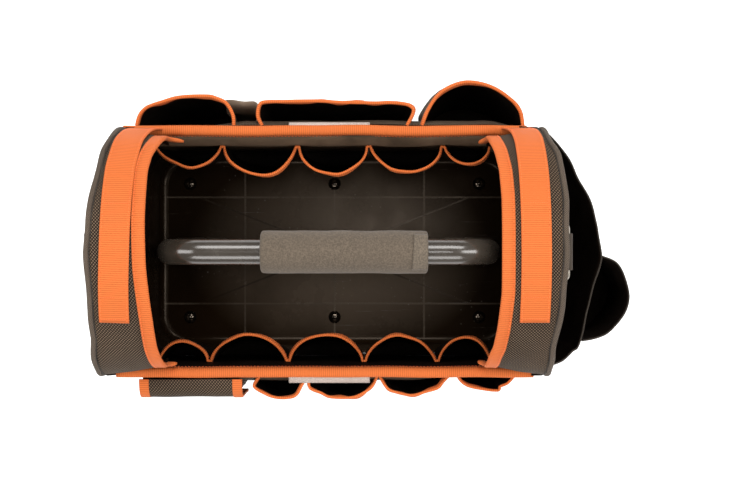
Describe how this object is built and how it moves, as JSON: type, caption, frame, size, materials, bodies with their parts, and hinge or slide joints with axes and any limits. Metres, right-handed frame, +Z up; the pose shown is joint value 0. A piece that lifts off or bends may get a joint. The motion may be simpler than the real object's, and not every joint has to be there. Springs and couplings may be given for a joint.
{
  "type": "open-top tool bag",
  "caption": "Open-top fabric tool bag with a moulded base tray, arched end hoods, a bent tube handle with foam grip, and bound inner and outer pockets.",
  "frame": {"origin": "middle of the base at floor level, where the lengthwise and crosswise skid ribs under the tray cross", "axes": "+X along the bag towards the end with the big end pocket, -Y towards the front with the flap pocket, +Z up"},
  "size_m": [0.5565, 0.3319, 0.327],
  "materials": {
    "moulded_black": "satin moulded polypropylene with scuffs",
    "foot_rubber": "matt",
    "rivet_black": "polished dome",
    "plated_steel": "nickel plated wire and screws",
    "tube_paint": "gloss dark grey coat",
    "grip_foam": "matt closed-cell foam",
    "orange_tape": "ribbed polyester tape and webbing",
    "label_white": "woven tag, blank",
    "grey_webbing": "ribbed webbing",
    "grey_binding": "woven piping",
    "touch_fastener": "hook and loop",
    "lining_fabric": "coated woven polyester, smooth side",
    "woven_fabric": "heavy woven polyester"
  },
  "bodies": {
    "bag": {"base_tray": "moulded_black", "end_pocket": "lining_fabric", "end_pocket_tape": "grey_binding", "feet": "foot_rubber", "flap_pocket": "woven_fabric", "foam_grip": "grip_foam", "foot_rivets": "rivet_black", "front_inner_pocket_tapes": "orange_tape", "front_inner_pockets": "lining_fabric", "front_label": "label_white", "front_lining": "lining_fabric", "front_panel": "woven_fabric", "front_pocket_1": "woven_fabric", "front_pocket_2": "woven_fabric", "front_pocket_3": "woven_fabric", "front_pocket_4": "woven_fabric", "front_pocket_tapes": "orange_tape", "front_rim_tape": "orange_tape", "handle_tube": "tube_paint", "left_end_panel": "woven_fabric", "left_hood": "woven_fabric", "left_hood_tape": "orange_tape", "left_leg_socket": "moulded_black", "left_piping": "grey_binding", "left_ring_tab": "grey_webbing", "left_strap": "orange_tape", "pen_sleeve": "woven_fabric", "pocket_loop_strip": "touch_fastener", "rear_centre_pocket": "woven_fabric", "rear_inner_pocket_tapes": "orange_tape", "rear_inner_pockets": "lining_fabric", "rear_label": "label_white", "rear_left_pocket": "woven_fabric", "rear_lining": "lining_fabric", "rear_panel": "woven_fabric", "rear_pocket_tapes": "orange_tape", "rear_right_pocket": "woven_fabric", "rear_rim_tape": "orange_tape", "right_end_panel": "woven_fabric", "right_hood": "woven_fabric", "right_hood_tape": "orange_tape", "right_leg_socket": "moulded_black", "right_piping": "grey_binding", "right_ring_tab": "grey_webbing", "right_strap": "orange_tape", "small_end_pocket": "lining_fabric", "small_end_pocket_tape": "grey_binding", "socket_screws": "plated_steel"},
    "flap": {"flap": "woven_fabric", "flap_tapes": "orange_tape", "flap_hook_strip": "touch_fastener"},
    "left_ring": {"left_ring": "plated_steel"},
    "right_ring": {"right_ring": "plated_steel"}
  },
  "joints": [
    {"name": "flap_hinge", "type": "hinge", "parent": "bag", "child": "flap", "pos_m": [-0.1445, -0.1322, 0.212], "axis": [-1, 0, 0], "range_deg": [0, 95]},
    {"name": "left_ring_swing", "type": "hinge", "parent": "bag", "child": "left_ring", "pos_m": [-0.2345, 0, 0.284], "axis": [0, 1, 0], "range_deg": [0, 150]},
    {"name": "right_ring_swing", "type": "hinge", "parent": "bag", "child": "right_ring", "pos_m": [0.2345, 0, 0.284], "axis": [0, -1, 0], "range_deg": [0, 150]}
  ]
}
